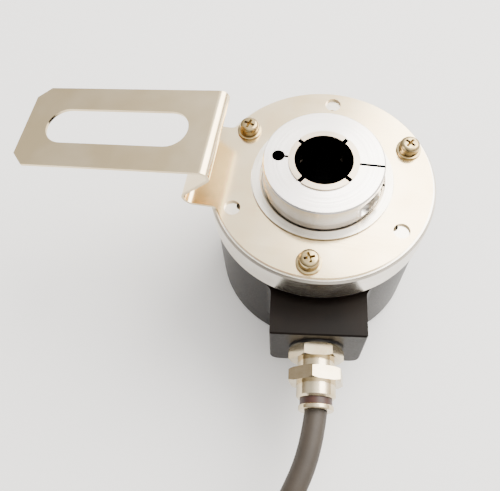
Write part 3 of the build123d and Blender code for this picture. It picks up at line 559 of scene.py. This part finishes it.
# The spline's own line, as points a fraction of a millimetre apart.
def lineOf(curve):
    depth, curve.data.bevel_depth = curve.data.bevel_depth, 0.0
    bpy.context.view_layer.update()
    line = bpy.data.meshes.new_from_object(curve.evaluated_get(bpy.context.evaluated_depsgraph_get()))
    curve.data.bevel_depth = depth
    return [v.co.copy() for v in line.vertices]


def lengthOf(points):
    return sum((b - a).length for a, b in zip(points, points[1:]))


def makeCable():
    c = cableSizes
    step = 360 / c["pointsEachTurn"]
    swell = 1 / math.cos(math.radians(step / 2))
    points = list(cableRoute)
    angle = c["firstTurn"] + step
    while angle <= c["lastTurn"]:
        radius, height = coilPlace(angle)
        points.append(coilPoint(angle, radius * swell, height))
        angle += step
    turn = math.radians(c["lastTurn"])
    ends = Vector(coilPoint(c["lastTurn"], c["coilRadius"], c["upperHeight"]))
    along = Vector((-math.sin(turn), math.cos(turn), 0))
    points[-1] = tuple(ends - along * 3)
    points += [tuple(ends + along * 2), tuple(ends + along * 6)]
    return cableCurve("signalCable", points, c["diameter"], jacketVinyl), ends, along


signalCable, cableEnd, cableAlong = makeCable()

tieSizes = {"turns": (215.0, 325.0), "width": 10.0, "thickness": 0.8, "slack": 0.06, "tailThickness": 0.7,
            "tailThin": 0.8, "tail": (-50, 105), "tailGap": 0.02}


# Outline of a strap drawn tight round the three turns, at a distance from their jackets.
def strapPoint(angle, distance):
    c = cableSizes
    middles = ((-c["turnStep"], c["lowerHeight"]), (c["turnStep"], c["lowerHeight"]),
               (0.0, c["upperHeight"] - c["sag"]))
    way = (math.cos(angle), math.sin(angle))
    far = max(middles, key=lambda m: m[0] * way[0] + m[1] * way[1])
    reach = c["diameter"] / 2 + distance
    return far[0] + reach * way[0], far[1] + reach * way[1]


# A strap from one angle round the turns to another; a tail, which isn't looped, thins out at its end.
def strapBand(shape, turn, start, end, inner, outer, steps, looped):
    c, t = cableSizes, tieSizes
    rows = []
    for k in range(steps if looped else steps + 1):
        angle = math.radians(start + (end - start) * k / steps)
        thin = 0 if looped else t["tailThin"] * smoothStep(k, steps - 3, steps)
        row = []
        near, far = strapPoint(angle, inner), strapPoint(angle, inner + (outer - inner) * (1 - thin))
        for place, side in ((near, -1), (near, 1), (far, 1), (far, -1)):
            around = turn + math.degrees(side * t["width"] / 2 / c["coilRadius"])
            row.append(tuple(v * mm for v in coilPoint(around, c["coilRadius"] + place[0], place[1])))
        rows.append(row)
    skin(shape, rows, looped=looped)


def makeTies():
    t = tieSizes
    shape = bmesh.new()
    for turn in t["turns"]:
        outside = t["slack"] + t["thickness"]
        strapBand(shape, turn, 0, 360, t["slack"], outside, 72, True)
        strapBand(shape, turn, *t["tail"], outside + t["tailGap"], outside + t["tailThickness"], 40, False)
    ties = makeObject("coilTies", shape, tapeFabric)
    return settle(ties, "stator", "tie_fabric", "coil_ties")


coilTies = makeTies()

sleeveSizes = {"length": 12.7, "radius": 4.35, "mouthHalf": 4.15, "mouthHeight": 1.25, "wall": 0.35,
               "rolled": 0.15, "mouthDepth": 1.0}


# Shrink sleeve: round over the jacket, flattened where the five leads come out side by side.
def makeSleeve():
    s = sleeveSizes
    shape = bmesh.new()
    side = Vector((cableAlong.y, -cableAlong.x, 0))
    rows = []
    rolled, steps = s["rolled"], 12
    stations = [(0.0, 0.0, -0.25), (rolled, 0.0, 0.0)]
    stations += [(rolled + (1 - rolled) * k / steps, k / steps, 0.0) for k in range(1, steps + 1)]
    for share, flat, less in stations:
        ease = smoothStep(flat, 0.35, 0.9)
        rows.append((share * s["length"], s["radius"] + (s["mouthHalf"] - s["radius"]) * ease + less,
                     s["radius"] + (s["mouthHeight"] - s["radius"]) * ease + less))
    rows.append((s["length"], s["mouthHalf"] - s["wall"], s["mouthHeight"] - s["wall"]))
    rows.append((s["length"] - s["mouthDepth"], s["mouthHalf"] - s["wall"], s["mouthHeight"] - s["wall"]))
    skinRows = []
    for out, half, high in rows:
        ring = []
        for k in range(32):
            a = 2 * math.pi * k / 32
            place = cableEnd + cableAlong * out + side * (half * math.cos(a))
            ring.append((place.x * mm, place.y * mm, (place.z + high * math.sin(a)) * mm))
        skinRows.append(ring)
    skin(shape, skinRows)
    sleeve = makeObject("endSleeve", shape, sleeveFilm, 50)
    return settle(sleeve, "stator", "sleeve_black", "end_sleeve")


endSleeve = makeSleeve()

leadSizes = {"diameter": 1.3, "pitch": 1.45, "tipLength": 4.5, "tipRadius": 0.4, "strandDepth": 0.05,
             "twist": 2.2, "start": 12.4, "outwards": 1.6, "floor": -50.2, "tipInside": 0.5}
leadSteps = (0.0, 8.0, 17.0, 27.0, 38.0)
leadSpread = (1.0, 1.05, 1.35, 1.75, 1.9)
leadHeight = (3.9, 3.4, 1.1, 0.65, 0.65)
leadWander = ((0, 0.1, -0.3, 0.5, 1.2), (0, -0.1, 0.4, 0.1, -0.6), (0, 0.1, -0.3, 0.2, 0.4),
              (0, 0.1, 0.2, -0.3, 0.5), (0, 0.1, -0.2, 0.6, -0.4))


def leadPoints(index):
    c, s = cableSizes, leadSizes
    side = (index - 2) * s["pitch"]
    points = []
    for step, spreadBy, height, wander in zip(leadSteps, leadSpread, leadHeight, leadWander[index]):
        turn = c["lastTurn"] + math.degrees((s["start"] + step) / c["coilRadius"])
        reach = c["coilRadius"] + s["outwards"] + side * spreadBy + wander
        points.append(coilPoint(turn, reach, s["floor"] + height))
    return points


# Bare end of a lead: seven strands twisted together and tinned.
def makeTip(index, line):
    s = leadSizes
    along = (line[-1] - line[-2]).normalized()
    side = along.cross(Vector((0, 0, 1))).normalized()
    above = side.cross(along)
    shape = bmesh.new()
    rows = []
    for k in range(13):
        out = -s["tipInside"] + (s["tipLength"] + s["tipInside"]) * k / 12
        close = 1 - 0.35 * smoothStep(k, 11, 12)
        row = []
        for j in range(18):
            a = 2 * math.pi * j / 18
            r = (s["tipRadius"] + s["strandDepth"] * math.cos(6 * a - s["twist"] * out)) * close * mm
            row.append(line[-1] + along * (out * mm) + side * (r * math.cos(a)) + above * (r * math.sin(a)))
        rows.append(row)
    skin(shape, rows)
    tip = makeObject(f"leadTip{index + 1}", shape, tinnedCopper, 60)
    return settle(tip, "stator", "nickel_brass")


def makeLeads():
    for index, colour in enumerate(coreColours):
        lead = cableCurve(f"flyingLead{index + 1}", leadPoints(index), leadSizes["diameter"],
                          coreInsulation(colour))
        settle(lead, "stator", "core_insulation", "lead_wires")
        line = lineOf(lead)
        tip = makeTip(index, line)


makeLeads()
settle(signalCable, "stator", "cable_jacket", "cable_lead", "cable_coil")
cableLine = lineOf(signalCable)
print("cable:", round(lengthOf(cableLine), 3), "m with five leads")


# Pan-head screws in the plate, and the washers under them.
plateScrewSizes = {"count": 3, "circle": 33.5, "firstTurn": 22.7, "seat": 2.8, "thread": 4.0, "pitch": 0.7,
                   "threadDepth": 0.38, "length": 10.0, "head": 7.0, "headHeight": 2.6, "side": 1.15,
                   "crown": 1.35, "rise": 1.4, "flat": 0.9, "foot": (0.12, 0.14), "crossLength": 3.9,
                   "crossWidth": 0.95, "crossDepth": 1.7}


# A head with its drive cut in and a threaded shank added; thread is what threaded takes.
def screwShape(head, cutter, *thread):
    made = cutWith(makeObject("head", head, screwNickel), cutter)
    shape = bmesh.new()
    shape.from_mesh(made.data)
    bpy.data.objects.remove(made)
    return threaded(shape, *thread)


# Three copies of a piece where the plate's screws are.
def settleOnPlate(piece, ownTurn, seed, node):
    s = plateScrewSizes
    values = {"Count": s["count"], "Radius": s["circle"] * mm, "First turn": math.radians(s["firstTurn"]),
              "Own turn": ownTurn, "Seed": seed, "Finish": screwNickel}
    settle(runTree(piece, circleCopies, values), "stator", "screw_steel", node)


def crossCutter(length, width, depth, top):
    shape = bmesh.new()
    rows = []
    for height, scale in ((top + 0.3, 1.06), (top, 1.0), (top - depth * 0.8, 0.62), (top - depth, 0.3)):
        a, b = length / 2 * scale, width / 2 * (0.5 + 0.5 * scale)
        corners = ((a, b), (b, b), (b, a), (-b, a), (-b, b), (-a, b), (-a, -b), (-b, -b), (-b, -a), (b, -a),
                   (b, -b), (a, -b))
        rows.append([(x * mm, y * mm, height * mm) for x, y in corners])
    return makeObject("cutter", skin(shape, rows), screwNickel)


def makePlateScrews():
    s = plateScrewSizes
    seat, top, edge = s["seat"], s["seat"] + s["headHeight"], s["head"] / 2
    foot, side, crown, steps = s["foot"], seat + s["side"], s["crown"], 8
    outline = [(centre, seat), (edge - foot[0], seat), (edge, seat + foot[1]), (edge, side)]
    for k in range(1, steps + 1):
        a = math.radians(90 * k / steps)
        outline.append((edge - crown + crown * math.cos(a), side + s["rise"] * math.sin(a)))
    outline += [(s["flat"], top), (centre, top)]
    shape = screwShape(turned(bmesh.new(), outline, 48, closed=False),
                       crossCutter(s["crossLength"], s["crossWidth"], s["crossDepth"], top),
                       s["thread"] / 2, s["pitch"], s["threadDepth"], seat - s["length"], seat + overlap)
    settleOnPlate(makeObject("plateScrews", shape, screwNickel), 0.6, 3, "plate_screws")


washerSizes = {"flatOuter": 4.4, "flatInner": 2.25, "flatLow": 1.0, "flatHigh": 1.8, "edge": 0.08,
               "springOuter": 3.6, "springInner": 2.1, "springHigh": 2.8, "split": 0.8, "lean": 0.5}


def makeFlatWashers():
    w = washerSizes
    outer, inner, low, high, e = w["flatOuter"], w["flatInner"], w["flatLow"], w["flatHigh"], w["edge"]
    outline = [(inner, low + e), (inner + e, low), (outer - e, low), (outer, low + e), (outer, high - 2 * e),
               (outer - 0.6 * e, high - 0.6 * e), (outer - 2 * e, high), (inner + e, high), (inner, high - e)]
    washer = makeObject("plateFlatWashers", turned(bmesh.new(), outline, 56), screwNickel)
    settleOnPlate(washer, 1.0, 5, "plate_flat_washers")


# Spring washer: a square-section coil pressed flat, its split cut on a slant.
def makeSpringWashers():
    w = washerSizes
    outer, inner, low, high, e = w["springOuter"], w["springInner"], w["flatHigh"], w["springHigh"], w["edge"]
    outline = [(inner + e, low), (outer - e, low), (outer, low + e), (outer, high - e), (outer - e, high),
               (inner + e, high), (inner, high - e), (inner, low + e)]
    half, steps = w["split"] / (outer + inner), 48
    rows = []
    for k in range(steps + 1):
        row = []
        for r, z in outline:
            lean = w["lean"] * (z - (low + high) / 2) / outer
            a = half + 2 * (math.pi - half) * k / steps + lean
            row.append((r * mm * math.cos(a), r * mm * math.sin(a), z * mm))
        rows.append(row)
    washer = makeObject("plateSpringWashers", skin(bmesh.new(), rows), screwNickel)
    settleOnPlate(washer, 3.1, 8, "plate_spring_washers")


makePlateScrews()
makeFlatWashers()
makeSpringWashers()
print("plate screws and washers made")


# Socket screws: one in the clamp collar, four in the rear face.
clampSizes = {"turn": -5.5, "offset": 16.4, "height": 6.2, "seat": 5.5, "length": 14.0, "thread": 4.0,
              "pitch": 0.7, "threadDepth": 0.38, "head": 7.0, "headLength": 4.0, "key": 3.0, "keyDepth": 2.0,
              "knurls": 36, "knurlDepth": 0.03}
rearScrewSizes = {"circle": 31.5, "turns": (30, 150, 210, 330), "face": -59.0, "sink": 0.2, "head": 5.6,
                  "headHeight": 1.7, "thread": 3.0, "pitch": 0.5, "threadDepth": 0.28, "length": 8.0,
                  "key": 2.0, "keyDepth": 1.1}


def hexCutter(key, low, high):
    rows, reach = [], key / math.sqrt(3) * mm
    for height in (low, high):
        rows.append([(reach * math.cos(math.pi / 3 * k), reach * math.sin(math.pi / 3 * k), height * mm)
                     for k in range(6)])
    return makeObject("cutter", skin(bmesh.new(), rows), screwNickel)


def makeClampScrew():
    s = clampSizes
    seat, top, knurl = s["seat"], s["seat"] + s["headLength"], s["knurlDepth"]
    edge = s["head"] / 2 - knurl
    outline = [(centre, seat), (edge - 0.17, seat), (edge, seat + 0.2), (edge, top - 0.45),
               (edge - 0.22, top - 0.12), (edge - 0.47, top), (centre, top)]
    head = turned(bmesh.new(), outline, s["knurls"] * 2, closed=False, wave=knurl, waves=s["knurls"])
    shape = screwShape(head, hexCutter(s["key"], top - s["keyDepth"], top + 1), s["thread"] / 2, s["pitch"],
                       s["threadDepth"], seat - s["length"], seat + overlap)
    moved = Matrix.Translation((s["offset"] * mm, 0, s["height"] * mm))
    around = Matrix.Rotation(math.radians(s["turn"]), 4, "Z")
    shape.transform(around @ moved @ Matrix.Rotation(math.pi / 2, 4, "X"))
    settle(makeObject("clampScrew", shape, zincSteel, 25), "rotor", "clamp_steel", "clamp_screw")


def makeRearScrews():
    s = rearScrewSizes
    low = s["face"] + s["sink"]
    top, edge = low + s["headHeight"], s["head"] / 2
    outline = [(centre, low), (edge - 0.55, low), (edge - 0.12, low + 0.4), (edge, low + 0.75),
               (edge, top - 0.1), (edge - 0.1, top), (centre, top)]
    shape = screwShape(turned(bmesh.new(), outline, 40, closed=False),
                       hexCutter(s["key"], low - 1, low + s["keyDepth"]), s["thread"] / 2, s["pitch"],
                       s["threadDepth"], top - overlap, top + s["length"])
    screw = makeObject("housingScrews", shape, screwNickel)
    turns = [(t, math.radians(t)) for t in s["turns"]]
    guide = guidePoints([(s["circle"] * math.cos(a), s["circle"] * math.sin(a), 0, t) for t, a in turns])
    made = runTree(screw, pointCopies, {"Guide": guide, "Finish": screwNickel}, guide)
    settle(made, "stator", "screw_steel", "housing_screws")


makeClampScrew()
makeRearScrews()
print("socket screws made")


# Tracks of the code disc and the border inside them.
trackSizes = {"bars": 250, "inner": 23.9, "outer": 26.4, "width": 0.3, "face": -32.0, "film": 0.02,
              "filmGap": 0.005, "border": (0.7, 0.2)}


def makeTracks():
    s = trackSizes
    low = s["face"] + s["filmGap"]
    high = low + s["film"]
    middle, half, side = (s["inner"] + s["outer"]) / 2, (s["outer"] - s["inner"]) / 2, s["width"] / 2
    corners = ((-half, -side), (half, -side), (half, side), (-half, side))
    rows = [[(x * mm, y * mm, z * mm) for x, y in corners] for z in (low, high)]
    bar = makeObject("codeTracks", skin(bmesh.new(), rows), trackChrome)
    made = runTree(bar, circleCopies, {"Count": s["bars"], "Radius": middle * mm, "Finish": trackChrome})
    settle(made, "rotor", "code_glass")
    near, far = (s["inner"] - less for less in s["border"])
    border = [(near, low), (far, low), (far, high), (near, high)]
    rim = makeObject("codeBorder", turned(bmesh.new(), border, 96), trackChrome)
    settle(rim, "rotor", "code_glass")


makeTracks()
print("code disc tracks made")


# Chips on the board as x, y, width, depth and height, with gull-wing pins.
chipSizes = {"face": -39.6, "standoff": 0.15, "pinWidth": 0.35, "pinPitch": 1.0, "pinReach": 0.7,
             "pinRoot": 0.1, "pinDrop": 0.6, "pinThickness": 0.12, "pinRowInset": 0.8, "foot": -0.14,
             "chips": ((26, 0, 9, 6, 1.6), (-26, 0, 7, 10, 1.8), (24, 7, 4, 4, 1.2), (-20, 13, 3, 5, 1.4),
                       (0, 27, 10, 5, 1.6), (14, 22, 3, 2, 1.0), (-14, 22, 3, 2, 1.0))}


def makeChips():
    s = chipSizes
    shape = bmesh.new()
    face, pitch = s["face"], s["pinPitch"]
    pins = []
    for x, y, w, d, h in s["chips"]:
        rows = []
        levels = ((face - s["standoff"], 0.12), (face - h / 2, 0.0), (face - h + 0.1, 0.15),
                  (face - h, 0.25))
        for z, inset in levels:
            a, b = w / 2 - inset, d / 2 - inset
            corners = ((x - a, y - b), (x + a, y - b), (x + a, y + b), (x - a, y + b))
            rows.append([(i * mm, j * mm, z * mm) for i, j in corners])
        skin(shape, rows)
        gaps, edge = int((w - s["pinRowInset"]) // pitch), d / 2 - s["pinRoot"]
        for k in range(gaps + 1):
            along = x + (k - gaps / 2) * pitch
            pins += [(along, y + edge, face, 90), (along, y - edge, face, -90)]
    settle(makeObject("boardChips", shape, chipPlastic), "stator", "chip_black", "board_chips")
    half, reach, thick = s["pinWidth"] / 2, s["pinReach"], s["pinThickness"]
    drop, foot = s["pinDrop"], s["foot"]
    bends = ((0, -drop), (reach * 0.4, -drop), (reach * 0.55, foot), (reach, foot))
    rows = [[(x * mm, side * mm, height * mm) for side, height in ((-half, z), (half, z), (half, z + thick),
                                                                 (-half, z + thick))] for x, z in bends]
    pin = makeObject("chipPins", skin(bmesh.new(), rows), tinnedCopper)
    guide = guidePoints(pins)
    made = runTree(pin, pointCopies, {"Guide": guide, "Finish": tinnedCopper}, guide)
    settle(made, "stator", "nickel_brass")


makeChips()
print("board parts made")


# The floor, and how bright the tent is low, high, in front, and to each side.
studioSizes = {"floorHalf": 2.5, "floorHeight": -59.0, "floorGlow": 0.15, "low": 1.0, "high": 2.3,
               "front": 0.4, "left": 0.45, "right": 1.5}


def makeFloor():
    half, low = studioSizes["floorHalf"], studioSizes["floorHeight"] * mm
    shape = bmesh.new()
    shape.faces.new([shape.verts.new(p) for p in ((-half, -half, low), (half, -half, low), (half, half, low),
                                                  (-half, half, low))])
    made, tree, shader, place = startMaterial(
        "white paper ground", Roughness=0.9, Base_Color=(0.93, 0.93, 0.93, 1), Emission_Color=(1, 1, 1, 1),
        Emission_Strength=studioSizes["floorGlow"])
    emboss(tree, shader, cloud(tree, place, 2.0), 0.02)
    floor = makeObject("floor", shape, made)


def makeLight(name, place, aim, size, power, colour="FFFFFF"):
    data = bpy.data.lights.new(name, "AREA")
    data.shape, data.size, data.size_y, data.energy = "RECTANGLE", size[0], size[1], power
    data.color = linear(colour)[:3]
    light = bpy.data.objects.new(name, data)
    light.location = place
    light.rotation_euler = (Vector(aim) - Vector(place)).to_track_quat("-Z", "Y").to_euler()
    bpy.context.collection.objects.link(light)


# A white tent: brightest overhead and to the right, dimmer and warmer towards the ground.
def makeWorld():
    s = studioSizes
    world = bpy.data.worlds.new("studio")
    world.use_nodes = True
    tree = world.node_tree
    way = addNode(tree, "ShaderNodeTexCoord").outputs["Generated"]
    parts = addNode(tree, "ShaderNodeSeparateXYZ", links={"Vector": way}).outputs
    soft = {"interpolation_type": "SMOOTHSTEP"}
    height = spread(tree, parts["Z"], 0, 1, 0.0, 0.75, **soft)
    depth = spread(tree, parts["Y"], s["front"], 1.0, -0.9, 0.1, **soft)
    side = spread(tree, parts["X"], s["left"], s["right"], -0.55, 0.35, **soft)
    level = spread(tree, height, s["low"], s["high"], 0.0, 1.0)
    strength = maths(tree, "MULTIPLY", level, maths(tree, "MULTIPLY", side, depth))
    sky = tree.nodes["Background"]
    tree.links.new(twoColours(tree, height, "FFF3E4", "FFFDFA"), sky.inputs["Color"])
    tree.links.new(strength, sky.inputs["Strength"])
    bpy.context.scene.world = world


def makeStudio():
    makeFloor()
    makeWorld()
    makeLight("softBox", (0.6, 0.55, 0.85), (0, -0.02, 0), (1.0, 1.0), 30.0, "FFFAF2")


makeStudio()

bpy.context.view_layer.update()
print("studio ready, finishing")
